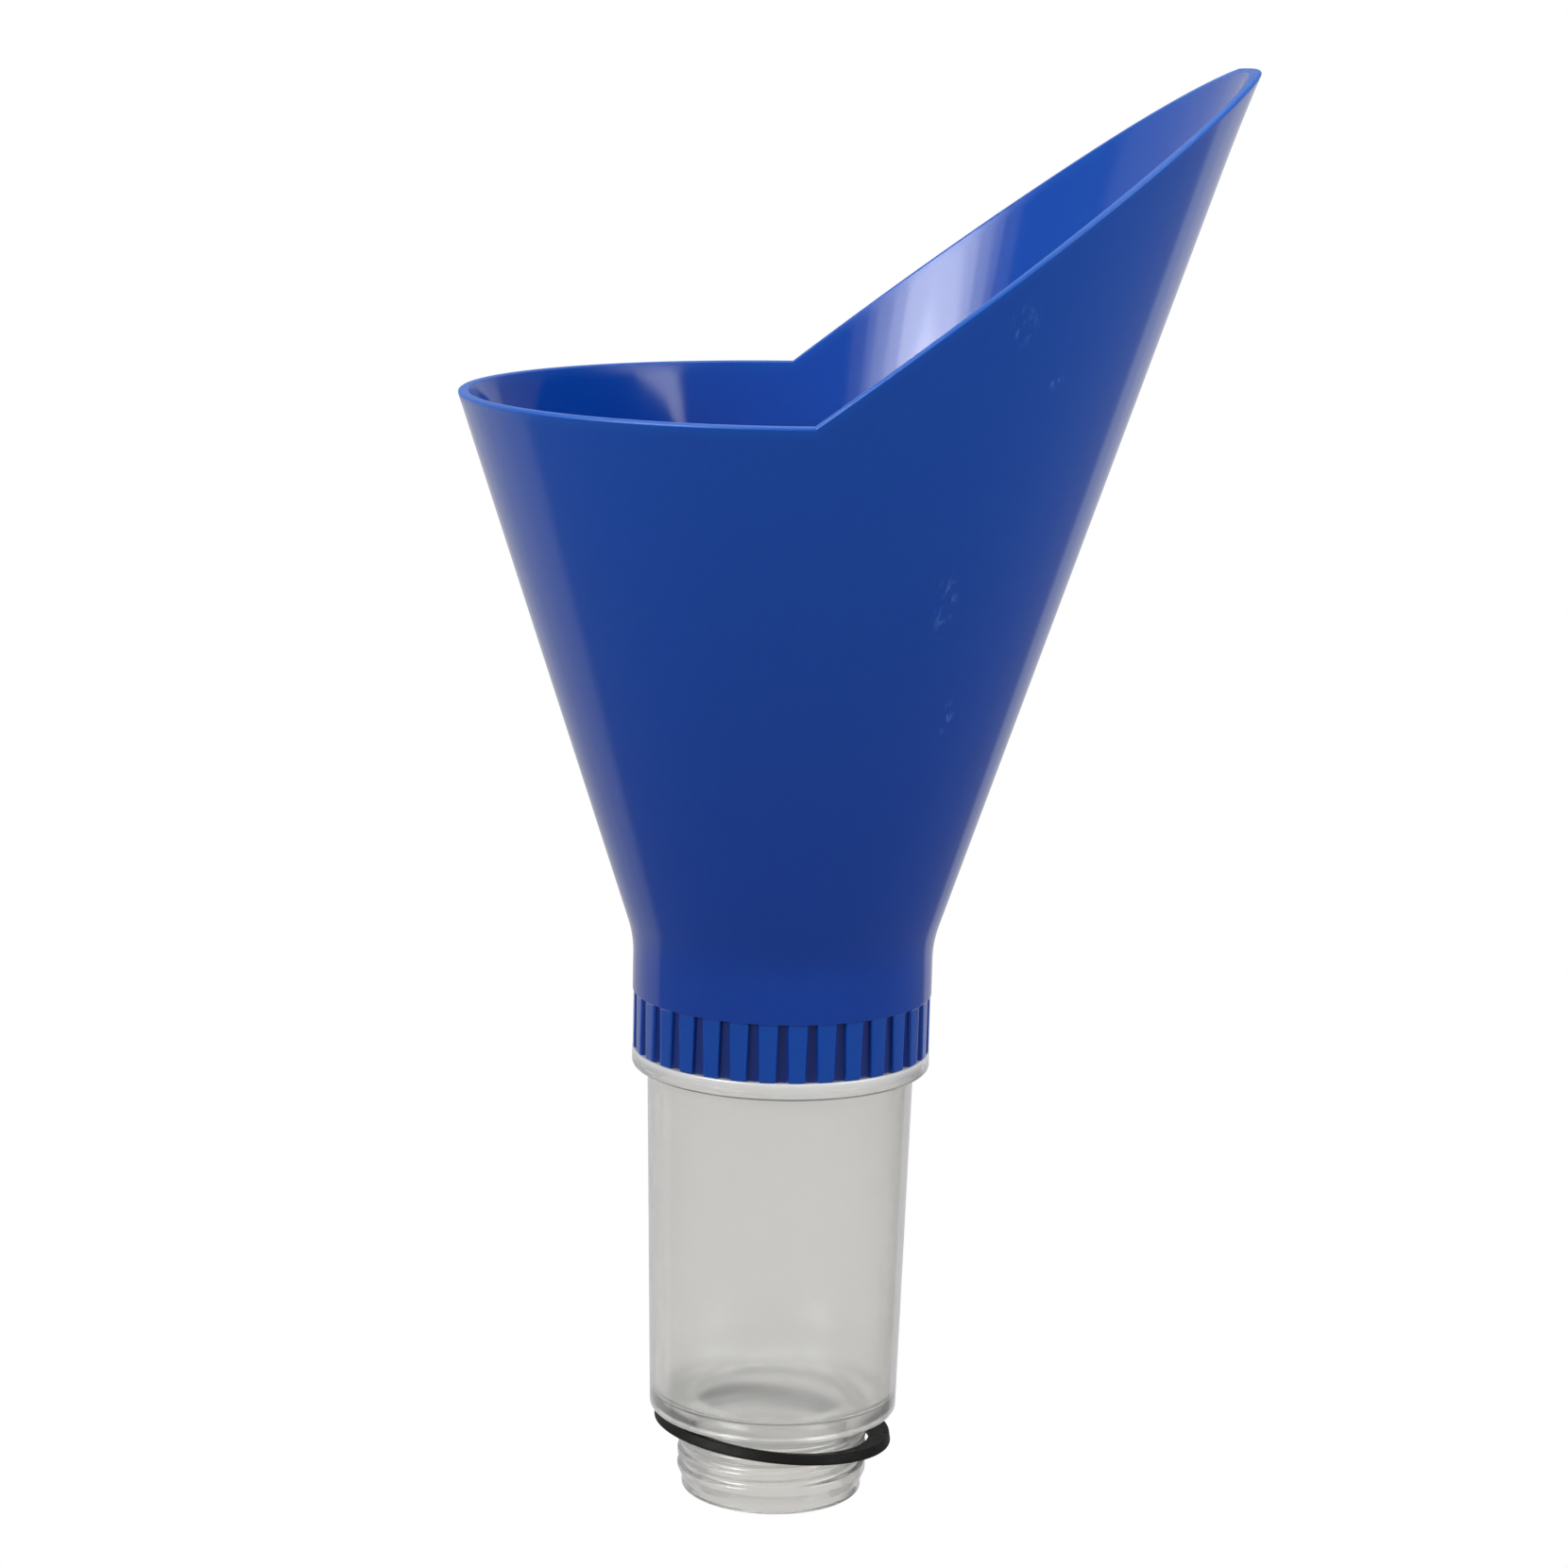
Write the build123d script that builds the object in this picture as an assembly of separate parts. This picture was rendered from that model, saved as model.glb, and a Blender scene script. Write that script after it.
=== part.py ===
"""High-backed oil funnel on a clear threaded adapter cup: four pieces, millimetres, +Z up.

The origin is the centre of the adapter's open lower end, and +X points to the funnel's tall side.
"""
from build123d import *
import math
import os

# ---------------------------------------------------------------- driving dimensions (mm)
# adapter cup: the lower neck, which screws into an engine's oil filler opening
neck_length = 16.5
neck_bore_radius = 15.0
neck_pilot_radius = 17.6
neck_thread_radius = 18.5
neck_thread_start = 4.1
neck_thread_end = 12.4
neck_chamfer_start = 2.0
neck_edge_radius = 0.6
neck_groove_start = 4.05   # height of the groove's centre where it starts, on the +X side

# adapter cup: the body
floor_thickness = 3.0
floor_corner_radius = 1.6
body_bottom_radius = 24.1
body_top_radius = 25.7
body_bottom_edge = 1.0
body_wall = 2.3
flange_bottom = 85.7
flange_top = 89.1
flange_radius = 28.7
flange_edge_radius = 0.7

# the screw joint between the adapter cup and the funnel
thread_pitch = 3.0
spigot_top = 101.5
spigot_root_radius = 24.9
spigot_thread_radius = 25.9
spigot_relief = 2.0
spigot_groove_start = 90.6
socket_minor_radius = 25.2
socket_major_radius = 26.2
socket_top = 103.0
socket_thread_top = 99.6
flank_slope = 0.5          # axial run of a thread's flank for each mm of its depth
flank_clearance = 0.25
relief_step = 0.06         # each relief is this much deeper than the thread groove beside it
spigot_crest_width = 0.8
neck_crest_width = 1.2
gasket_radius = 25.9
gasket_bore_radius = 24.2

# funnel
skirt_radius = 28.8
skirt_blend_radius = 22.0
cone_slope = 0.3313        # radius gained for each mm of height, a half-angle of 18.3 degrees
cone_offset = -7.92        # the cone's radius where its wall line meets height zero
wall = 2.1                 # across the wall, measured level
flare_start = 259.0
flare_top = 282.0
flare_gain = 0.85
rim_height = 215.6         # height of the corner between the level rim and the slanted rim
rim_corner_x = 1.4
rim_slant = 37.25          # degrees, slanted rim
rim_fall = 0.5             # degrees, the level rim's slight fall to the low side
tip_bend_x = 61.5
tip_bend_radius = 905.0
tip_end_x = 83.6            # from here the rim falls, which blunts the tip
tip_fall = 19.0             # degrees

# grip grooves round the foot of the skirt
groove_count = 32
groove_top = 100.3
groove_depth = 1.1
groove_width_bottom = 2.4
groove_width_top = 1.7
groove_phase = 10.1        # degrees from +X to the middle of a groove

# neck seal, a rubber ring stretched over the thread: it is cupped, outer edge up, and hangs askew
seal_bore_radius = 18.95   # at its tightest, the upper inner edge
seal_width = 4.1           # from inner to outer edge, along the cupped face
seal_thickness = 2.05
seal_cupping = 14.5        # degrees
seal_height = 12.2
seal_tilt = 5.5            # degrees, low on the +X side
seal_back_tilt = 2.2       # degrees, low on the +Y side
seal_shift = 0.1           # off centre towards +X


# ---------------------------------------------------------------- helpers
def cone_radius(height):
    """Outside radius of the funnel's straight cone at a height."""
    return cone_offset + cone_slope * height


def ring_solid(outline):
    """A solid of revolution about Z from a closed outline of (radius, height) points."""
    return revolve(Plane.XZ * make_face(Polyline(*outline, close=True)), Axis.Z)


def cut_thread(body, bottom_radius, bottom_width, mouth_radius, z_start, turns):
    """Cut a right-handed helical groove, one turn at a time, out past its mouth radius."""
    outward = 1 if mouth_radius > bottom_radius else -1
    bottom_radius += outward * relief_step
    far_radius = mouth_radius + outward * 0.5
    far_half = bottom_width / 2 + flank_slope * abs(far_radius - bottom_radius)
    profile = Polyline(
        (bottom_radius, -bottom_width / 2),
        (far_radius, -far_half),
        (far_radius, far_half),
        (bottom_radius, bottom_width / 2),
        close=True,
    )
    path = Helix(thread_pitch, thread_pitch, bottom_radius)
    one_turn = sweep(Plane.XZ * make_face(profile), path, is_frenet=True)
    for turn in range(turns):
        body = body - Pos(0, 0, z_start + turn * thread_pitch) * one_turn
    return body


# ---------------------------------------------------------------- adapter cup
def adapter_cup():
    floor_top = neck_length + floor_thickness
    draft = (body_top_radius - body_bottom_radius) / (flange_bottom - neck_length)
    bore_top_radius = body_bottom_radius - body_wall + draft * (spigot_top - floor_top)
    relief_top = flange_top + spigot_relief
    crest_depth = spigot_thread_radius - spigot_root_radius
    outline = [
        (neck_bore_radius, 0),
        (neck_pilot_radius, 0),
        (neck_pilot_radius, neck_chamfer_start),
        (neck_thread_radius, neck_thread_start),
        (neck_thread_radius, neck_thread_end),
        (neck_pilot_radius, neck_thread_end + 0.8),
        (neck_pilot_radius, neck_length),
        (body_bottom_radius, neck_length),
        (body_top_radius, flange_bottom),
        (flange_radius, flange_bottom),
        (flange_radius, flange_top),
        (spigot_root_radius, flange_top),
        (spigot_root_radius, relief_top),
        (spigot_thread_radius, relief_top + crest_depth * flank_slope),
        (spigot_thread_radius, spigot_top - 0.8),
        (spigot_root_radius, spigot_top),
        (bore_top_radius, spigot_top),
        (body_bottom_radius - body_wall, floor_top),
        (neck_bore_radius, floor_top),
    ]
    cup = ring_solid(outline)

    def edges_at(radius, height):
        circles = cup.edges().filter_by(GeomType.CIRCLE)
        return [e for e in circles
                if abs(e.radius - radius) < 0.01 and abs(e.arc_center.Z - height) < 0.01]

    cup = fillet(edges_at(neck_pilot_radius, 0), neck_edge_radius)
    cup = fillet(edges_at(body_bottom_radius, neck_length), body_bottom_edge)
    cup = fillet(edges_at(flange_radius, flange_bottom), flange_edge_radius)
    cup = fillet(edges_at(body_bottom_radius - body_wall, floor_top), floor_corner_radius)

    neck_depth = neck_thread_radius - neck_pilot_radius
    neck_groove_width = thread_pitch - neck_crest_width - 2 * flank_slope * neck_depth
    cup = cut_thread(cup, neck_pilot_radius, neck_groove_width, neck_thread_radius, neck_groove_start, 3)
    spigot_groove_width = thread_pitch - spigot_crest_width - 2 * flank_slope * crest_depth
    return cut_thread(cup, spigot_root_radius, spigot_groove_width, spigot_thread_radius,
                      spigot_groove_start, 4)


# ---------------------------------------------------------------- funnel
def funnel_outline():
    """Half section of the funnel before its rim is cut, as a closed face in the XZ plane."""
    bend_height = (skirt_radius - cone_offset) / cone_slope
    cone_angle = math.atan(cone_slope)
    blend = skirt_blend_radius * math.tan(cone_angle / 2)
    blend_start = bend_height - blend
    blend_end = bend_height + blend * math.cos(cone_angle)
    flare_radius = cone_radius(flare_top) + flare_gain
    throat_radius = cone_radius(socket_top) - wall
    with BuildSketch(Plane.XZ) as section:
        with BuildLine():
            Line((socket_minor_radius, flange_top + 0.8), (socket_minor_radius + 0.8, flange_top))
            Line((socket_minor_radius + 0.8, flange_top), (skirt_radius, flange_top))
            Line((skirt_radius, flange_top), (skirt_radius, blend_start))
            TangentArc((skirt_radius, blend_start), (cone_radius(blend_end), blend_end), tangent=(0, 1))
            Line((cone_radius(blend_end), blend_end), (cone_radius(flare_start), flare_start))
            Line((cone_radius(flare_start), flare_start), (flare_radius, flare_top))
            Line((flare_radius, flare_top), (flare_radius - wall, flare_top))
            Line((flare_radius - wall, flare_top), (cone_radius(flare_start) - wall, flare_start))
            Polyline(
                (cone_radius(flare_start) - wall, flare_start),
                (throat_radius, socket_top),
                (socket_major_radius, socket_top),
                (socket_major_radius, socket_thread_top + flank_slope),
                (socket_minor_radius, socket_thread_top),
                (socket_minor_radius, flange_top + 0.8),
            )
        make_face()
    return section.sketch


def rim_cutter():
    """Everything above the rim: level on the low side, slanted and bending down to the tip."""
    reach = 120.0
    slant = math.radians(rim_slant)
    bend_z = rim_height + (tip_bend_x - rim_corner_x) * math.tan(slant)
    turned = math.asin(math.sin(slant) - (tip_end_x - tip_bend_x) / tip_bend_radius)
    end_z = bend_z + tip_bend_radius * (math.cos(turned) - math.cos(slant))
    fall_z = end_z - (reach - tip_end_x) * math.tan(math.radians(tip_fall))
    low_z = rim_height - (reach + rim_corner_x) * math.tan(math.radians(rim_fall))
    with BuildSketch(Plane.XZ) as above:
        with BuildLine():
            Line((-reach, low_z), (rim_corner_x, rim_height))
            Line((rim_corner_x, rim_height), (tip_bend_x, bend_z))
            TangentArc((tip_bend_x, bend_z), (tip_end_x, end_z), tangent=(math.cos(slant), math.sin(slant)))
            Polyline(
                (tip_end_x, end_z),
                (reach, fall_z),
                (reach, 2 * rim_height),
                (-reach, 2 * rim_height),
                (-reach, low_z),
            )
        make_face()
    return extrude(above.sketch, amount=reach, both=True)


def grip_grooves():
    """Cutters for the tapered grooves that give fingers a grip."""
    height = groove_top - flange_top
    spare = 1.0
    foot = groove_width_bottom / 2
    head = groove_width_top / 2
    outline = Polyline(
        (-foot, flange_top - spare),
        (foot, flange_top - spare),
        (foot, flange_top),
        (head, flange_top + height),
        (-head, flange_top + height),
        (-foot, flange_top),
        close=True,
    )
    floor_plane = Plane(origin=(skirt_radius - groove_depth, 0, 0), x_dir=(0, 1, 0), z_dir=(1, 0, 0))
    cutter = extrude(floor_plane * make_face(outline), amount=2 * groove_depth)
    step = 360 / groove_count
    return [Rot(0, 0, groove_phase + step * i) * cutter for i in range(groove_count)]


def funnel():
    body = revolve(funnel_outline(), Axis.Z)
    body -= rim_cutter()
    body -= grip_grooves()
    crest_depth = spigot_thread_radius - spigot_root_radius
    thread_depth = socket_major_radius - socket_minor_radius
    overlap_depth = socket_minor_radius - spigot_root_radius
    spigot_groove_width = thread_pitch - spigot_crest_width - 2 * flank_slope * crest_depth
    ridge_width = spigot_groove_width + 2 * flank_slope * overlap_depth - 2 * flank_clearance
    socket_groove_width = thread_pitch - ridge_width - 2 * flank_slope * thread_depth
    return cut_thread(body, socket_major_radius, socket_groove_width, socket_minor_radius,
                      spigot_groove_start - 1.5 * thread_pitch, 5)


# ---------------------------------------------------------------- seals
def joint_gasket():
    ring = Circle(gasket_radius) - Circle(gasket_bore_radius)
    return Pos(0, 0, spigot_top) * extrude(ring, amount=socket_top - spigot_top)


def neck_seal():
    cupping = math.radians(seal_cupping)
    across = (seal_width * math.cos(cupping), seal_width * math.sin(cupping))
    upward = (-seal_thickness * math.sin(cupping), seal_thickness * math.cos(cupping))
    inner = seal_bore_radius - upward[0]
    low = -(across[1] + upward[1]) / 2
    ring = ring_solid([
        (inner, low),
        (inner + across[0], low + across[1]),
        (inner + across[0] + upward[0], low + across[1] + upward[1]),
        (inner + upward[0], low + upward[1]),
    ])
    return Pos(seal_shift, 0, seal_height) * Rot(-seal_back_tilt, 0, 0) * Rot(0, seal_tilt, 0) * ring


# ---------------------------------------------------------------- write one file per piece
pieces = {
    "adapter_cup": adapter_cup(),
    "funnel": funnel(),
    "joint_gasket": joint_gasket(),
    "neck_seal": neck_seal(),
}
os.makedirs("parts", exist_ok=True)
for name, piece in pieces.items():
    export_step(piece, f"parts/{name}.step")
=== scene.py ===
"""Looks of the high-backed oil funnel on its clear adapter cup.

Sizes below are in millimetres, as a person would measure the object, and become metres when a mesh
is made. +Z is up, +X points to the funnel's tall side and the origin is the cup's open lower end.
"""
import math

import bpy
import numpy as np
from mathutils import Matrix, Vector


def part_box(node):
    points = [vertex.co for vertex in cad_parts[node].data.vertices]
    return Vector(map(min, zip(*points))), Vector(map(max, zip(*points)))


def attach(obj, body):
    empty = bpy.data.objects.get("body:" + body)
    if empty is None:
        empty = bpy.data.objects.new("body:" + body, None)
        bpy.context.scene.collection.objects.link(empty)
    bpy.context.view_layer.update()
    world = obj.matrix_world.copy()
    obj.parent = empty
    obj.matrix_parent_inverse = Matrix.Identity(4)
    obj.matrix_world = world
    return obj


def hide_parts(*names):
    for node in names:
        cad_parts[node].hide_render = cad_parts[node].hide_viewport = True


MM = 0.001
TURN = 2 * math.pi

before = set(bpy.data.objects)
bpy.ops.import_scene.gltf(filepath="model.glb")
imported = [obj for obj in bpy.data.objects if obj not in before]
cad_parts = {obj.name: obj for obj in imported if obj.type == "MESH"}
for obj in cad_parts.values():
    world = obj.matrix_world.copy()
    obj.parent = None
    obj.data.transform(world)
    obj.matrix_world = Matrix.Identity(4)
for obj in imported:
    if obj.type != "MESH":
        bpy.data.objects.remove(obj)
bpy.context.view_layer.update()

# ---------------------------------------------------------------- sizes read from the frame
funnel_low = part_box("funnel")[0] / MM
cup_low, cup_high = (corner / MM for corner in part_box("adapter_cup"))
gasket_low, gasket_high = (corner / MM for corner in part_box("joint_gasket"))

flange_radius = cup_high.x
flange_top = funnel_low.z
spigot_top = cup_high.z
socket_top = gasket_high.z
gasket_radius = gasket_high.x

# ---------------------------------------------------------------- adapter cup
neck_length = 16.5
neck_bore_radius = 15.0
neck_pilot_radius = 17.6
neck_thread_radius = 18.5
neck_thread_start = 4.1
neck_thread_end = 12.4
neck_groove_start = 4.05
neck_crest_width = 1.2
floor_top = 19.5
body_bottom_radius = 24.1
body_top_radius = 25.7
body_wall = 2.3
flange_bottom = 85.7
spigot_root_radius = 24.9
spigot_thread_radius = 25.9
spigot_bore_radius = 23.7
spigot_thread_start = 91.1
spigot_groove_start = 90.6
spigot_crest_width = 0.8
thread_pitch = 3.0
flank_slope = 0.5
parting_line_angle = 227.0  # degrees
parting_line_height = 0.03
parting_line_width = 0.3    # degrees

# ---------------------------------------------------------------- funnel
skirt_radius = 28.8
skirt_blend_radius = 22.0
skirt_top = 117.0
foot_radius = 0.35
cone_slope = 0.3313
cone_offset = -7.92
wall = 2.1
flare_start = 259.0
flare_top = 282.0
flare_gain = 0.85
rim_height = 215.6
rim_corner_x = 1.4
rim_slant = math.radians(37.25)
rim_fall = math.radians(0.5)
tip_bend_x = 61.5
tip_bend_radius = 905.0
tip_end_x = 83.6
tip_fall = math.radians(19.0)
rim_edge_radius = 0.5
rim_band = 2.6
socket_minor_radius = 25.2
socket_major_radius = 26.2
socket_thread_top = 99.6
socket_groove_width = 1.0
throat = socket_top + 0.9
groove_count = 32
groove_top = 100.3
groove_depth = 1.1
rib_inset = 0.18
groove_width_bottom = 2.4
groove_width_top = 1.7
groove_phase = 10.1          # degrees

# ---------------------------------------------------------------- neck seal
seal_bore_radius = 18.95
seal_width = 4.1
seal_thickness = 2.05
seal_cupping = math.radians(14.5)
seal_height = 12.2
seal_tilt = math.radians(5.5)
seal_back_tilt = math.radians(2.2)
seal_shift = 0.1


# ---------------------------------------------------------------- mesh helpers
def smoothstep(value):
    """0 to 1 with flat ends."""
    value = np.clip(value, 0.0, 1.0)
    return value * value * (3 - 2 * value)


def corner_arc(corner, before, after, radius, steps=5, support=0.12):
    """Points that round a corner. corner, before and after are arrays whose last axis is a point."""
    to_before = before - corner
    to_after = after - corner
    to_before /= np.linalg.norm(to_before, axis=-1, keepdims=True)
    to_after /= np.linalg.norm(to_after, axis=-1, keepdims=True)
    cosine = np.sum(to_before * to_after, axis=-1, keepdims=True)
    half = np.arccos(np.clip(cosine, -1, 1)) / 2
    reach = radius / np.tan(half)
    middle = to_before + to_after
    centre = corner + middle / np.linalg.norm(middle, axis=-1, keepdims=True) * radius / np.sin(half)
    start = corner + to_before * reach - centre
    end = corner + to_after * reach - centre
    swing = math.pi - 2 * half
    points = [corner + to_before * (reach + support)]
    for step in range(steps + 1):
        share = step / steps
        along = np.sin((1 - share) * swing) * start + np.sin(share * swing) * end
        points.append(centre + along / np.sin(swing))
    points.append(corner + to_after * (reach + support))
    return points


def rounded_outline(corners):
    """A closed (radius, height) outline with each corner rounded by its third value."""
    points = []
    for index, (radius, height, fillet) in enumerate(corners):
        here = np.array((radius, height), float)
        before = np.array(corners[index - 1][:2], float)
        after = np.array(corners[(index + 1) % len(corners)][:2], float)
        points += corner_arc(here, before, after, fillet, support=min(0.12, fillet / 2))
    return points


def with_steps(points, low, high, step, inner, outer):
    """The outline with its long runs between two heights and two radii divided to a step."""
    finer = []
    for index, point in enumerate(points):
        finer.append(point)
        following = points[(index + 1) % len(points)]
        inside = all(low <= p[1] <= high and inner <= p[0] <= outer for p in (point, following))
        count = int(np.linalg.norm(following - point) / step)
        if inside:
            finer += [point + (following - point) * n / (count + 1) for n in range(1, count + 1)]
    return finer


def ring_mesh(name, rows):
    """A closed, smooth mesh from rows of points (rows, columns, 3) in mm that wrap round both ways."""
    rows = np.asarray(rows) * MM
    row_count, column_count = rows.shape[:2]
    index = np.arange(row_count * column_count).reshape(row_count, column_count)
    right = np.roll(index, -1, axis=1)
    above = np.roll(index, -1, axis=0)
    diagonal = np.roll(above, -1, axis=1)
    faces = np.stack([index, right, diagonal, above], axis=-1).reshape(-1, 4)
    flat = rows.reshape(-1, 3)
    first, second, third, fourth = (flat[faces[:, n]] for n in range(4))
    volume = np.sum(np.cross(second - first, third - first) * first)
    volume += np.sum(np.cross(third - first, fourth - first) * first)
    if volume < 0:
        faces = faces[:, ::-1]
    mesh = bpy.data.meshes.new(name)
    mesh.from_pydata(flat.tolist(), [], faces.tolist())
    mesh.shade_smooth()
    mesh.validate()
    piece = bpy.data.objects.new(name, mesh)
    bpy.context.scene.collection.objects.link(piece)
    return piece


def add_layer(piece, name, values):
    """A number at each vertex, which the materials read by name."""
    layer = piece.data.attributes.new(name, "FLOAT", "POINT")
    layer.data.foreach_set("value", values.ravel())


def turned(points, angles):
    """Rows of a lathe shape: each (radius, height) point, or pair of arrays, at each angle."""
    rows = []
    for radius, height in points:
        radius = np.broadcast_to(radius, angles.shape)
        height = np.broadcast_to(height, angles.shape)
        rows.append(np.stack([radius * np.cos(angles), radius * np.sin(angles), height], axis=-1))
    return np.array(rows)


def groove_profile(angle, height, root, crest, bottom_width, start, first_turn, last_turn):
    """Share of full depth of a right-handed helical groove at points, 0 on the crest and 1 at the root."""
    turns = angle / TURN
    turn = turns + np.round((height - start) / thread_pitch - turns)
    offset = height - start - thread_pitch * turn
    depth = abs(crest - root)
    soft = 0.12
    from_wall = np.sqrt((np.abs(offset) - bottom_width / 2) ** 2 + soft**2)
    rise = (np.abs(offset) - bottom_width / 2 + from_wall) / 2
    share = 1 - rise / (flank_slope * depth)
    share = (share + np.sqrt(share**2 + (soft / depth) ** 2)) / 2
    fade = smoothstep((turn - first_turn) / 0.12) * smoothstep((last_turn - turn) / 0.12)
    return np.minimum(share, 1.0) * fade


# ---------------------------------------------------------------- adapter cup
def cup_angles():
    """Even columns, with a few close ones on each of the two moulding parting lines."""
    even = np.linspace(0, 360, 384, endpoint=False)
    close = [side + parting_line_angle + step for side in (0, -180) for step in (-0.5, -0.25, 0, 0.25, 0.5)]
    even = [a for a in even if all(abs(a - c) > 0.3 for c in close)]
    return np.radians(np.sort(np.concatenate([even, close])))


def cup_outline():
    outline = rounded_outline([
        (neck_bore_radius, cup_low.z, 0.35),
        (neck_pilot_radius, cup_low.z, 0.6),
        (neck_pilot_radius, 2.0, 0.8),
        (neck_thread_radius, neck_thread_start, 0.5),
        (neck_thread_radius, neck_thread_end, 0.3),
        (neck_pilot_radius, neck_thread_end + 0.8, 0.4),
        (neck_pilot_radius, neck_length, 0.5),
        (body_bottom_radius, neck_length, 1.0),
        (body_top_radius, flange_bottom, 0.4),
        (flange_radius, flange_bottom, 0.7),
        (flange_radius, flange_top, 0.3),
        (spigot_root_radius, flange_top, 0.3),
        (spigot_root_radius, spigot_thread_start, 0.2),
        (spigot_thread_radius, spigot_thread_start + 0.5, 0.2),
        (spigot_thread_radius, spigot_top - 0.8, 0.3),
        (spigot_root_radius, spigot_top, 0.2),
        (spigot_bore_radius, spigot_top, 0.3),
        (body_bottom_radius - body_wall, floor_top, 1.6),
        (neck_bore_radius, floor_top, 0.8),
    ])
    outline = with_steps(outline, 1.0, neck_length - 0.3, 0.14, neck_bore_radius + 1, neck_thread_radius + 1)
    outline = with_steps(outline, flange_top + 0.3, spigot_top, 0.2, spigot_bore_radius + 0.8, flange_radius)
    return with_steps(outline, floor_top, flange_top, 6.0, 0, flange_radius)


def cup_surface(radius, height, angles):
    """The turned cup's radii with both threads cut and the parting lines raised."""
    neck_wall = (radius > neck_bore_radius + 1) & (height > 1.0) & (height < neck_length - 0.4)
    depth = neck_thread_radius - neck_pilot_radius
    width = thread_pitch - neck_crest_width - 2 * flank_slope * depth
    groove = groove_profile(angles, height, neck_pilot_radius, neck_thread_radius, width,
                            neck_groove_start, 0.0, 3.0)
    neck_radius = np.minimum(radius, neck_thread_radius - depth * groove)

    spigot_wall = (radius > spigot_bore_radius + 0.8) & (height > flange_top + 0.4)
    depth = spigot_thread_radius - spigot_root_radius
    width = thread_pitch - spigot_crest_width - 2 * flank_slope * depth
    groove = groove_profile(angles, height, spigot_root_radius, spigot_thread_radius, width,
                            spigot_groove_start, 0.0, 4.2)
    spigot_radius = np.minimum(radius, spigot_thread_radius - depth * groove)

    shaped = np.where(neck_wall, neck_radius, np.where(spigot_wall, spigot_radius, radius))
    outside = (radius > body_bottom_radius - body_wall + 1.0) & (height > neck_length) & (height < flange_top)
    from_line = (np.degrees(angles) - parting_line_angle + 90) % 180 - 90
    line = parting_line_height * np.exp(-(from_line / parting_line_width) ** 2)
    return np.minimum(shaped + np.where(outside, line, 0), flange_radius)


def make_cup():
    angles = cup_angles()
    radius, height = np.array(cup_outline()).T[:, :, None]
    shaped = cup_surface(radius, height, angles)
    piece = ring_mesh("clear_adapter_cup", turned(zip(shaped, height), angles))
    # Painted highlight: a whiter, less clear line painted along the flange's top edge.
    flange_edge = shaped > flange_radius - 0.5
    bright = flange_edge & (height > flange_top - 0.45) & (height < flange_top + 0.1)
    add_layer(piece, "painted_flange_highlight", np.where(bright, 1.0, 0.0))
    # Painted shade: a dark line painted along the flange's foot, and the neck painted a little darker.
    flange_foot = (height > flange_bottom - 0.1) & (height < flange_bottom + 0.45)
    shade = np.where((shaped > flange_radius - 0.6) & flange_foot, 1.0, 0.0)
    shade[height[:, 0] < neck_length - 0.5] = 0.16
    add_layer(piece, "clear_shade", shade)
    return piece


# ---------------------------------------------------------------- funnel
def cone_radius(height):
    """The cone's outside, flared a little below the tip."""
    flare = np.clip((height - flare_start) / (flare_top - flare_start), 0, 1) ** 2 * flare_gain
    return cone_offset + cone_slope * height + flare


def outer_radius(height):
    """The skirt, blended by an arc into the cone."""
    bend_height = (skirt_radius - cone_offset) / cone_slope
    blend = skirt_blend_radius * math.tan(math.atan(cone_slope) / 2)
    low = bend_height - blend
    high = bend_height + blend * math.cos(math.atan(cone_slope))
    rise = np.clip(height - low, 0, skirt_blend_radius)
    arc = skirt_radius + skirt_blend_radius - np.sqrt(skirt_blend_radius**2 - rise**2)
    return np.where(height > high, cone_radius(height), arc)


def inner_radius(height):
    return cone_radius(height) - wall


def rim_line(x):
    """Height of the rim's cut over a point: level, slanted, bending towards the tip, falling at the tip."""
    bend_z = rim_height + (tip_bend_x - rim_corner_x) * math.tan(rim_slant)
    centre_x = tip_bend_x + tip_bend_radius * math.sin(rim_slant)
    centre_z = bend_z - tip_bend_radius * math.cos(rim_slant)
    level = rim_height + (x - rim_corner_x) * math.tan(rim_fall)
    slanted = rim_height + (x - rim_corner_x) * math.tan(rim_slant)
    bent = centre_z + np.sqrt(tip_bend_radius**2 - (centre_x - np.clip(x, 0, tip_end_x)) ** 2)
    bent = bent - np.clip(x - tip_end_x, 0, None) * math.tan(tip_fall)
    return np.where(x < rim_corner_x, level, np.where(x < tip_bend_x, slanted, bent))


def rim_heights(radius_of, angles):
    """Height where each column of a wall meets the rim's cut, found by halving."""
    low = np.full_like(angles, 180.0)
    high = np.full_like(angles, flare_top)
    for _ in range(40):
        middle = (low + high) / 2
        under = middle < rim_line(radius_of(middle) * np.cos(angles))
        low = np.where(under, middle, low)
        high = np.where(under, high, middle)
    return (low + high) / 2


def groove_width(height):
    share = np.clip((height - flange_top) / (groove_top - flange_top), 0, 1)
    return groove_width_bottom + (groove_width_top - groove_width_bottom) * share


def collar_columns(width):
    """Angles of columns that follow the edges of grooves of one width, all round."""
    half_pitch = math.pi / groove_count
    beside = (-0.32, -0.15, -0.06, 0.0, 0.07, 0.17, 0.32, 0.6)
    side = np.array([0.0] + [(width / 2 + step) / skirt_radius for step in beside] + [half_pitch])
    one = np.concatenate([-side[:0:-1], side[:-1]])
    first = math.radians(groove_phase) - TURN
    return np.concatenate([first + 2 * half_pitch * n + one for n in range(groove_count)])


upper_columns = collar_columns(groove_width_top)
rim_corner_angle = math.acos(rim_corner_x / float(outer_radius(rim_height)))
rim_corner_columns = [(target, np.argmin(np.abs(upper_columns - target)))
                      for target in (-rim_corner_angle, rim_corner_angle - TURN)]


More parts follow.
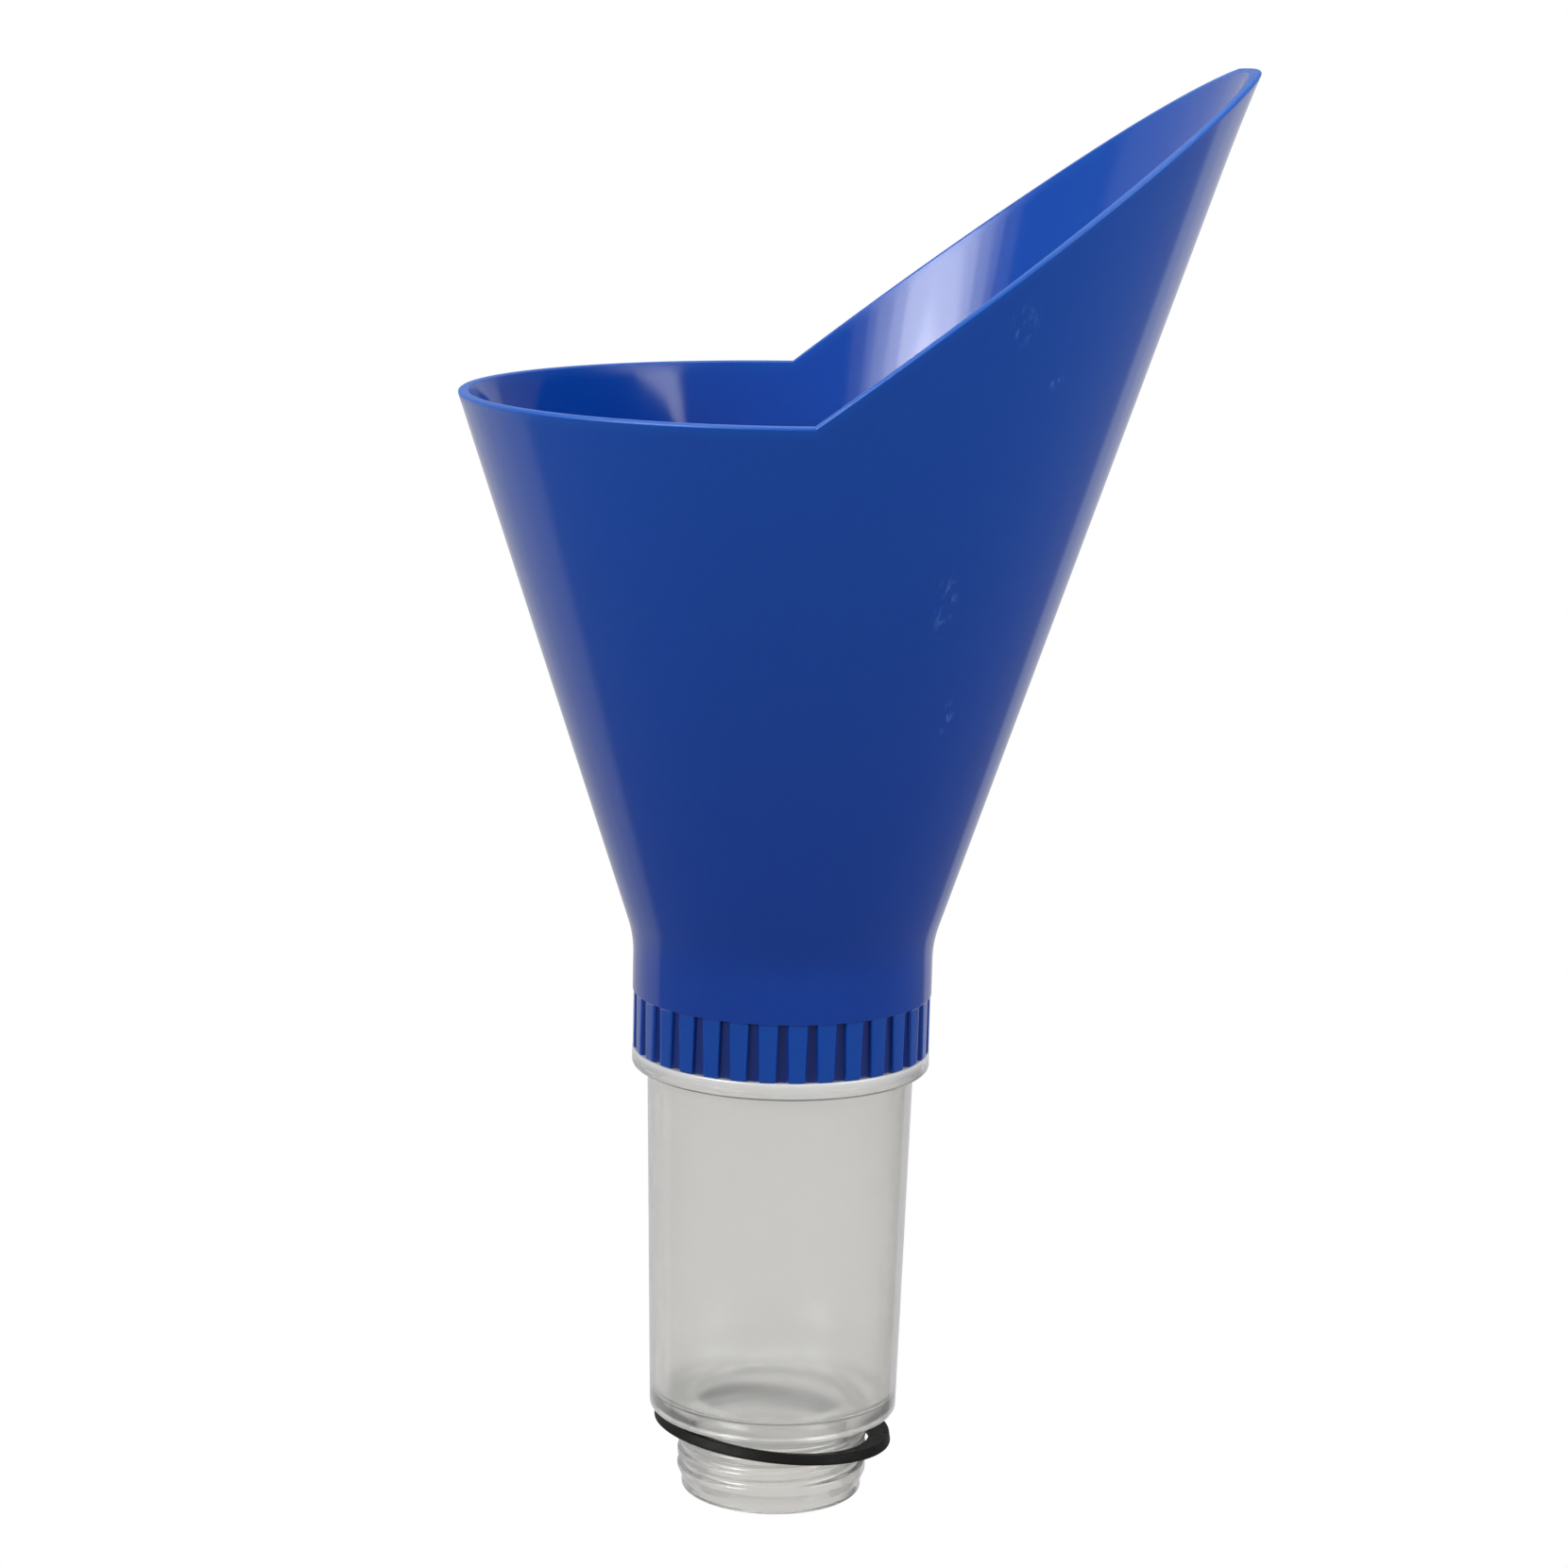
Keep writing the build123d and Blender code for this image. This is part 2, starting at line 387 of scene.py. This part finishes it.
def wall_columns(height):
    """Columns at a height: the grooves' edges below, drawn over to the rim's corners higher up.

    Two more columns beside each corner of the rim keep it crisp.
    """
    angles = collar_columns(groove_width(height))
    lift = float(smoothstep((height - groove_top - 8) / 30))
    for target, nearest in rim_corner_columns:
        share = np.clip(1 - np.abs(upper_columns - upper_columns[nearest]) / 0.5, 0, 1)
        angles += lift * (target - upper_columns[nearest]) * share
    extra = [angles[nearest] + 0.15 * (angles[neighbour] - angles[nearest])
             for _, nearest in rim_corner_columns
             for neighbour in (nearest - 1, nearest + 1)]
    return np.sort(np.concatenate([angles, extra]))


def collar_depth(angles, height):
    """Depth of the grip grooves at points on the collar, with rounded edges and a closed top."""
    pitch = TURN / groove_count
    from_centre = np.abs((angles - math.radians(groove_phase) + pitch / 2) % pitch - pitch / 2)
    from_edge = from_centre * skirt_radius - groove_width(height) / 2
    across = 1 - smoothstep((from_edge + 0.2) / 0.45)
    rounding = 0.06 * np.exp(-np.clip(from_edge - 0.1, 0, None) / 0.15)
    up = 1 - smoothstep((height - groove_top + 0.2) / 0.35)
    return (rib_inset + (groove_depth - rib_inset) * np.maximum(across, rounding)) * up


def row(radius, height, angles):
    return np.stack([radius * np.cos(angles), radius * np.sin(angles), height + 0 * angles], axis=-1)


def wall_row(height, inward=0.0):
    """A row of the grooved outside wall, set inwards by a distance."""
    angles = wall_columns(height)
    return row(outer_radius(height) - collar_depth(angles, height) - inward, height, angles)


def collar_rows():
    """The collar's rounded foot, the grooved collar and the plain skirt."""
    swings = [math.pi / 2 * step / 5 for step in range(6)]
    foot = [wall_row(flange_top + foot_radius * (1 - math.cos(swing)), foot_radius * (1 - math.sin(swing)))
            for swing in swings]
    heights = [flange_top + rise for rise in (0.9, 3.0, 5.5, 8.0, 10.0)]
    heights += [groove_top + rise for rise in (-0.35, -0.2, -0.12, -0.04, 0.04, 0.1, 0.17, 0.4, 1.2)]
    heights += list(np.linspace(groove_top + 3, skirt_top, 16))
    return foot + [wall_row(height) for height in heights]


def cone_rows():
    """The cone outside, the rounded rim, and the cone inside down to the throat."""
    top_angles = wall_columns(flare_top)
    outer_top = rim_heights(outer_radius, top_angles)
    inner_top = rim_heights(inner_radius, top_angles)
    outer_edge = row(outer_radius(outer_top), outer_top, top_angles)
    inner_edge = row(inner_radius(inner_top), inner_top, top_angles)
    outer_below = row(outer_radius(outer_top - 3), outer_top - 3, top_angles)
    inner_below = row(inner_radius(inner_top - 3), inner_top - 3, top_angles)
    outside = []
    for share in np.linspace(0, 1, 40)[1:]:
        angles = wall_columns(skirt_top + share * (rim_height - skirt_top))
        height = skirt_top + share * (outer_top - rim_band - skirt_top)
        outside.append(row(outer_radius(height), height, angles))
    rim = corner_arc(outer_edge, outer_below, inner_edge, rim_edge_radius)
    rim += corner_arc(inner_edge, outer_edge, inner_below, rim_edge_radius)
    inside = []
    for share in np.linspace(1, 0, 44)[:-1]:
        angles = wall_columns(max(throat + share * (rim_height - throat), groove_top + 3))
        height = throat + share * (inner_top - rim_band - throat)
        inside.append(row(inner_radius(height), height, angles))
    return outside, rim, inside


def socket_rows():
    """The throat's ledge, the gasket's seat and the threaded socket, down to the collar's foot."""
    angles = wall_columns(groove_top + 3)
    path = [
        (float(inner_radius(throat)), throat, 0),
        (float(inner_radius(socket_top)), socket_top, 0.4),
        (socket_major_radius, socket_top, 0.3),
        (socket_major_radius, socket_thread_top + 0.5, 0.2),
        (socket_minor_radius, socket_thread_top, 0.2),
        (socket_minor_radius, flange_top + 0.8, 0.2),
        (socket_minor_radius + 0.8, flange_top, 0.2),
        (skirt_radius - 3.0, flange_top, 0),
    ]
    bore = []
    for before, here, after in zip(path, path[1:], path[2:]):
        bore += corner_arc(*(np.array(p[:2], float) for p in (here, before, after)), here[2], support=0.08)
    bore = with_steps(bore + [np.array((skirt_radius - 2.4, flange_top))], flange_top, socket_thread_top, 0.25,
                      0, socket_minor_radius + 0.3)[:-1]
    depth = socket_major_radius - socket_minor_radius
    rows = []
    for radius, height in bore:
        if height < socket_thread_top + 0.4:
            groove = groove_profile(angles, height, socket_major_radius, socket_minor_radius,
                                    socket_groove_width, spigot_groove_start - 1.5 * thread_pitch, 0.5, 5.0)
            radius = np.maximum(radius, socket_minor_radius + depth * groove)
        rows.append(row(radius, height, angles))
    return rows + [wall_row(flange_top, foot_radius + 0.15)]


def make_funnel():
    collar = collar_rows()
    outside, rim, inside = cone_rows()
    rows = np.array(collar + outside + rim + inside + socket_rows())
    piece = ring_mesh("blue_funnel", rows)
    # Painted light: a lighter blue painted along the cut rim, strongest on its middle rows.
    rim_light = np.zeros(rows.shape[:2])
    rim_start = len(collar) + len(outside)
    rim_end = rim_start + len(rim)
    rim_light[rim_start:rim_end] = 0.4
    rim_light[rim_start + 2:rim_end - 2] = 1.0
    add_layer(piece, "painted_rim_light", rim_light)
    # Painted shade: how deep each point sits in a groove, used to paint the grooves darker.
    radius = np.hypot(rows[..., 0], rows[..., 1])
    sunk = np.clip((skirt_radius - rib_inset - radius) / (groove_depth - rib_inset), 0, 1)
    on_collar = (rows[..., 2] < groove_top + 0.3) & (radius > skirt_radius - 1.4)
    add_layer(piece, "groove_shade", np.where(on_collar, sunk, 0))
    return piece


# ---------------------------------------------------------------- seals
def make_seal():
    across = (seal_width * math.cos(seal_cupping), seal_width * math.sin(seal_cupping))
    upward = (-seal_thickness * math.sin(seal_cupping), seal_thickness * math.cos(seal_cupping))
    inner = seal_bore_radius - upward[0]
    low = -(across[1] + upward[1]) / 2
    corners = [
        (inner, low, 0.3),
        (inner + across[0], low + across[1], 0.35),
        (inner + across[0] + upward[0], low + across[1] + upward[1], 0.3),
        (inner + upward[0], low + upward[1], 0.3),
    ]
    rows = turned(rounded_outline(corners), np.linspace(0, TURN, 256, endpoint=False))
    lean = Matrix.Rotation(-seal_back_tilt, 3, "X") @ Matrix.Rotation(seal_tilt, 3, "Y")
    return ring_mesh("black_neck_seal", rows @ np.array(lean).T + (seal_shift, 0, seal_height))


def make_gasket():
    bore = gasket_radius - 1.7
    corners = [
        (bore, gasket_low.z, 0.25),
        (gasket_radius, gasket_low.z, 0.25),
        (gasket_radius, gasket_high.z, 0.25),
        (bore, gasket_high.z, 0.25),
    ]
    angles = np.linspace(0, TURN, 192, endpoint=False)
    return ring_mesh("socket_gasket", turned(rounded_outline(corners), angles))


# ---------------------------------------------------------------- materials
def new_material(name):
    material = bpy.data.materials.new(name)
    material.use_nodes = True
    nodes = material.node_tree.nodes
    return material, nodes, material.node_tree.links, nodes["Principled BSDF"]


def noise(nodes, links, scale, detail=3.0, stretch=(1, 1, 1)):
    """Object-space noise, its scale in features per metre."""
    place = nodes.new("ShaderNodeTexCoord")
    mapping = nodes.new("ShaderNodeMapping")
    mapping.inputs["Scale"].default_value = stretch
    texture = nodes.new("ShaderNodeTexNoise")
    texture.inputs["Scale"].default_value = scale
    texture.inputs["Detail"].default_value = detail
    links.new(place.outputs["Object"], mapping.inputs["Vector"])
    links.new(mapping.outputs["Vector"], texture.inputs["Vector"])
    return texture.outputs["Fac"]


def spread(nodes, links, value, low, high):
    """A factor mapped to a range."""
    node = nodes.new("ShaderNodeMapRange")
    node.inputs["From Min"].default_value = 0.3
    node.inputs["From Max"].default_value = 0.7
    node.inputs["To Min"].default_value = low
    node.inputs["To Max"].default_value = high
    links.new(value, node.inputs["Value"])
    return node.outputs["Result"]


def colour_between(nodes, links, value, dark, light):
    """The first colour where a factor is 0 and the second where it is 1."""
    node = nodes.new("ShaderNodeMix")
    node.data_type = "RGBA"
    node.inputs["A"].default_value = (*dark, 1)
    node.inputs["B"].default_value = (*light, 1)
    links.new(value, node.inputs["Factor"])
    return node.outputs["Result"]


def laid_over(nodes, links, value, first, second):
    """A plain second colour laid over a linked first one by a factor."""
    node = nodes.new("ShaderNodeMix")
    node.data_type = "RGBA"
    node.inputs["B"].default_value = (*second, 1)
    links.new(first, node.inputs["A"])
    links.new(value, node.inputs["Factor"])
    return node.outputs["Result"]


def bump(nodes, links, shader, value, strength, distance):
    node = nodes.new("ShaderNodeBump")
    node.inputs["Strength"].default_value = strength
    node.inputs["Distance"].default_value = distance
    links.new(value, node.inputs["Height"])
    links.new(node.outputs["Normal"], shader.inputs["Normal"])


def layer_value(nodes, name):
    node = nodes.new("ShaderNodeAttribute")
    node.attribute_name = name
    return node.outputs["Fac"]


def height_step(nodes, links, height, softness):
    """1 below a height in metres and 0 above it."""
    place = nodes.new("ShaderNodeTexCoord")
    split = nodes.new("ShaderNodeSeparateXYZ")
    ramp = nodes.new("ShaderNodeMapRange")
    ramp.interpolation_type = "SMOOTHSTEP"
    ramp.inputs["From Min"].default_value = height - softness
    ramp.inputs["From Max"].default_value = height + softness
    ramp.inputs["To Min"].default_value = 1.0
    ramp.inputs["To Max"].default_value = 0.0
    links.new(place.outputs["Object"], split.inputs["Vector"])
    links.new(split.outputs["Z"], ramp.inputs["Value"])
    return ramp.outputs["Result"]


def scuffs(nodes, links):
    """A few small rubbed patches on the cone: place in mm, reach in mm and stretch in height."""
    patches = (
        ((37.3, -58.6, 233.5), 3.6, 1.4),
        ((44.1, -49.0, 223.0), 2.4, 1.0),
        ((25.9, -45.7, 184.0), 3.0, 5.0),
        ((27.5, -35.9, 160.5), 2.0, 2.5),
        ((-56.7, -28.2, 214.0), 2.2, 1.8),
    )
    place = nodes.new("ShaderNodeTexCoord")
    total = None
    for centre, reach, stretch in patches:
        mapping = nodes.new("ShaderNodeMapping")
        mapping.inputs["Scale"].default_value = (1, 1, 1 / stretch)
        length = nodes.new("ShaderNodeVectorMath")
        length.operation = "DISTANCE"
        length.inputs[1].default_value = (centre[0] * MM, centre[1] * MM, centre[2] * MM / stretch)
        fade = nodes.new("ShaderNodeMapRange")
        fade.inputs["From Min"].default_value = reach * MM
        fade.inputs["From Max"].default_value = reach * MM * 0.3
        links.new(place.outputs["Object"], mapping.inputs["Vector"])
        links.new(mapping.outputs["Vector"], length.inputs[0])
        links.new(length.outputs["Value"], fade.inputs["Value"])
        if total is None:
            total = fade.outputs["Result"]
        else:
            both = nodes.new("ShaderNodeMath")
            both.operation = "MAXIMUM"
            links.new(total, both.inputs[0])
            links.new(fade.outputs["Result"], both.inputs[1])
            total = both.outputs["Value"]
    streaks = nodes.new("ShaderNodeMapRange")
    streaks.inputs["From Min"].default_value = 0.53
    streaks.inputs["From Max"].default_value = 0.62
    streaks.inputs["To Max"].default_value = 0.8
    links.new(noise(nodes, links, 900.0, 2.0, (1, 1, 0.35)), streaks.inputs["Value"])
    worn = nodes.new("ShaderNodeMath")
    worn.operation = "MULTIPLY"
    links.new(total, worn.inputs[0])
    links.new(streaks.outputs["Result"], worn.inputs[1])
    return worn.outputs["Value"]


def blue_plastic():
    """Satin blue with painted light and shade: painted darker towards the bottom and in the grooves, and
    painted lighter where light comes through the collar's ribs and the cut rim.
    """
    material, nodes, links, shader = new_material("blue_moulded_plastic")
    # Painted shade: the blue painted darker towards the bottom and lighter towards the top.
    upward = height_step(nodes, links, 0.175, 0.080)
    plain = colour_between(nodes, links, upward, (0.0036, 0.080, 0.47), (0.0028, 0.052, 0.37))
    # Painted light: the collar's ribs, below the grooves' top, painted a lighter blue.
    below_grooves_top = height_step(nodes, links, groove_top * MM, 0.0002)
    ribs = laid_over(nodes, links, below_grooves_top, plain, (0.0035, 0.072, 0.42))
    # Painted shade: the grooves painted a darker blue by their depth.
    grooves = laid_over(nodes, links, layer_value(nodes, "groove_shade"), ribs, (0.007, 0.030, 0.21))
    # Painted light: the cut rim painted a lighter blue, as if lit through its thin edge.
    rim_light = layer_value(nodes, "painted_rim_light")
    colour = laid_over(nodes, links, rim_light, grooves, (0.005, 0.115, 0.52))
    worn = scuffs(nodes, links)
    links.new(laid_over(nodes, links, worn, colour, (0.05, 0.15, 0.52)), shader.inputs["Base Color"])
    dull = nodes.new("ShaderNodeMath")
    dull.operation = "MAXIMUM"
    links.new(worn, dull.inputs[0])
    links.new(rim_light, dull.inputs[1])
    rough = nodes.new("ShaderNodeMix")
    rough.inputs["B"].default_value = 0.45
    links.new(dull.outputs["Value"], rough.inputs["Factor"])
    links.new(spread(nodes, links, noise(nodes, links, 25.0, 1.0), 0.07, 0.10), rough.inputs["A"])
    links.new(rough.outputs["Result"], shader.inputs["Roughness"])
    shader.inputs["IOR"].default_value = 1.49
    shader.inputs["Subsurface Weight"].default_value = 0.3
    shader.inputs["Subsurface Radius"].default_value = (0.1, 0.35, 1.0)
    shader.inputs["Subsurface Scale"].default_value = 0.003
    bump(nodes, links, shader, noise(nodes, links, 30.0, 0.0), 0.02, 0.001)
    return material


def clear_plastic():
    material, nodes, links, shader = new_material("clear_moulded_plastic")
    # Painted highlight along the flange's top edge: whiter and less clear.
    bright = layer_value(nodes, "painted_flange_highlight")
    shade = layer_value(nodes, "clear_shade")
    # Painted shade: the flange's foot painted dark grey and the neck a little darker.
    clear_with_painted_shade = colour_between(nodes, links, shade, (0.93, 0.94, 0.94), (0.25, 0.26, 0.27))
    links.new(laid_over(nodes, links, bright, clear_with_painted_shade, (0.98, 0.99, 1.0)), shader.inputs["Base Color"])
    clear = nodes.new("ShaderNodeMapRange")
    clear.inputs["To Min"].default_value = 0.9
    clear.inputs["To Max"].default_value = 0.25
    links.new(bright, clear.inputs["Value"])
    links.new(clear.outputs["Result"], shader.inputs["Transmission Weight"])
    shader.inputs["IOR"].default_value = 1.5
    links.new(spread(nodes, links, noise(nodes, links, 30.0, 1.0), 0.14, 0.18), shader.inputs["Roughness"])
    shader.inputs["Coat Weight"].default_value = 0.8
    shader.inputs["Coat Roughness"].default_value = 0.05
    bump(nodes, links, shader, noise(nodes, links, 25.0, 1.0, (1, 1, 0.3)), 0.01, 0.0006)
    return material


def black_rubber():
    material, nodes, links, shader = new_material("black_rubber")
    mottle = noise(nodes, links, 500.0)
    colour = colour_between(nodes, links, mottle, (0.0035, 0.0035, 0.003), (0.006, 0.006, 0.005))
    links.new(colour, shader.inputs["Base Color"])
    links.new(spread(nodes, links, noise(nodes, links, 900.0), 0.5, 0.65), shader.inputs["Roughness"])
    shader.inputs["Specular IOR Level"].default_value = 0.18
    bump(nodes, links, shader, noise(nodes, links, 2500.0, 2.0), 0.15, 0.0002)
    return material


# ---------------------------------------------------------------- stage, lights and camera
seen_backdrop = (1.0, 1.0, 1.0, 1)
backdrop_through_plastic = (0.78, 0.745, 0.70, 1)
studio_around = (0.20, 0.20, 0.20, 1)
mirrored_front = (0.27, 0.27, 0.28)
mirrored_back = (0.62, 0.62, 0.64)


def backdrop(nodes, links, kind, mirrored):
    """White where the camera sees it, grey through clear plastic, and set apart as light and as reflection."""
    ray = nodes.new("ShaderNodeLightPath")
    around, through, seen = (nodes.new(kind) for _ in range(3))
    around.inputs["Color"].default_value = studio_around
    through.inputs["Color"].default_value = backdrop_through_plastic
    seen.inputs["Color"].default_value = seen_backdrop
    mixed = around.outputs[0]
    choices = (("Is Glossy Ray", mirrored), ("Is Transmission Ray", through), ("Is Camera Ray", seen))
    for ray_kind, shader in choices:
        mix = nodes.new("ShaderNodeMixShader")
        links.new(ray.outputs[ray_kind], mix.inputs["Fac"])
        links.new(mixed, mix.inputs[1])
        links.new(shader.outputs[0], mix.inputs[2])
        mixed = mix.outputs["Shader"]
    return mixed


def make_world():
    """Reflections of the studio are dark at the camera's end and bright behind the object."""
    world = bpy.data.worlds.new("studio")
    bpy.context.scene.world = world
    world.use_nodes = True
    nodes, links = world.node_tree.nodes, world.node_tree.links
    place = nodes.new("ShaderNodeTexCoord")
    along = nodes.new("ShaderNodeVectorMath")
    along.operation = "DOT_PRODUCT"
    along.inputs[1].default_value = (-0.25, 1.0, 0.0)
    ramp = nodes.new("ShaderNodeMapRange")
    ramp.interpolation_type = "SMOOTHSTEP"
    ramp.inputs["From Min"].default_value = 0.53
    ramp.inputs["From Max"].default_value = 0.62
    links.new(place.outputs["Generated"], along.inputs[0])
    links.new(along.outputs["Value"], ramp.inputs["Value"])
    mirrored = nodes.new("ShaderNodeBackground")
    shade = colour_between(nodes, links, ramp.outputs["Result"], mirrored_front, mirrored_back)
    links.new(shade, mirrored.inputs["Color"])
    lit = backdrop(nodes, links, "ShaderNodeBackground", mirrored)
    links.new(lit, nodes["World Output"].inputs["Surface"])


def make_floor():
    """A plain white table, which lets reflections through to the studio around it."""
    side = 12.0
    mesh = bpy.data.meshes.new("floor")
    corners = [(-side, -side, 0), (side, -side, 0), (side, side, 0), (-side, side, 0)]
    mesh.from_pydata(corners, [], [(0, 1, 2, 3)])
    floor = bpy.data.objects.new("floor", mesh)
    bpy.context.scene.collection.objects.link(floor)
    floor.location.z = -0.0002
    material, nodes, links, _ = new_material("pale_floor")
    lit = backdrop(nodes, links, "ShaderNodeEmission", nodes.new("ShaderNodeBsdfTransparent"))
    links.new(lit, nodes["Material Output"].inputs["Surface"])
    mesh.materials.append(material)


def area_light(name, place, aim, size, power):
    light = bpy.data.lights.new(name, "AREA")
    light.shape = "ELLIPSE"
    light.size = size
    light.size_y = size
    light.energy = power
    lamp = bpy.data.objects.new(name, light)
    lamp.location = place
    lamp.rotation_euler = (Vector(aim) - Vector(place)).to_track_quat("-Z", "Y").to_euler()
    bpy.context.scene.collection.objects.link(lamp)
    return lamp


def make_camera():
    lens = 94.08
    distance = 0.7676
    height = 0.2908
    azimuth = -0.0341
    pitch = 0.1933
    pan = -0.0007
    roll = 0.0232
    place = Vector((distance * math.sin(azimuth), -distance * math.cos(azimuth), height))
    heading = azimuth - pan
    forward = Vector((-math.sin(heading), math.cos(heading), 0))
    right = Vector((math.cos(heading), math.sin(heading), 0))
    up = Vector((0, 0, 1))
    look = forward * math.cos(pitch) - up * math.sin(pitch)
    level_up = up * math.cos(pitch) + forward * math.sin(pitch)
    side = right * math.cos(roll) + level_up * math.sin(roll)
    top = level_up * math.cos(roll) - right * math.sin(roll)
    data = bpy.data.cameras.new("camera")
    data.lens = lens
    data.sensor_width = 36.0
    data.clip_start = 0.01
    camera = bpy.data.objects.new("camera", data)
    turn = Matrix((side, top, -look)).transposed().to_4x4()
    camera.matrix_world = Matrix.Translation(place) @ turn
    bpy.context.scene.collection.objects.link(camera)
    bpy.context.scene.camera = camera


def dress(piece, material, body, node):
    piece.data.materials.append(material)
    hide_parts(node)
    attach(piece, body)


make_camera()
make_world()
make_floor()
rubber = black_rubber()
dress(make_cup(), clear_plastic(), "adapter", "adapter_cup")
dress(make_funnel(), blue_plastic(), "funnel", "funnel")
dress(make_seal(), rubber, "seal", "neck_seal")
dress(make_gasket(), rubber, "gasket", "joint_gasket")
key = area_light("key_light", (-1.09, -0.85, 0.75), (0, 0, 0.2), 1.0, 14.5)
key.visible_glossy = False
softbox = ((0.3, 4.9), (0.5, 4.5), (0.7, 3.8), (0.9, 3.0), (1.1, 2.2), (1.3, 1.3), (1.6, 0.7))
for size, radiance in softbox:
    # nested panes, the smallest in front, give the reflected patch a soft edge
    away = 1 + 0.02 * size
    pane = area_light(f"pane_{round(100 * size)}", (-1.09 * away, -0.85 * away, 0.55 * away + 0.2), (0, 0, 0.2),
                      size, radiance * (math.pi * size / 2) ** 2)
    pane.visible_diffuse = False
    pane.visible_transmission = False
area_light("fill_right", (1.3, -0.6, 0.6), (0, 0, 0.15), 1.2, 14)
area_light("top", (0.1, 0.1, 1.5), (0, 0, 0.15), 1.2, 10)
bpy.context.scene.view_settings.view_transform = "Standard"
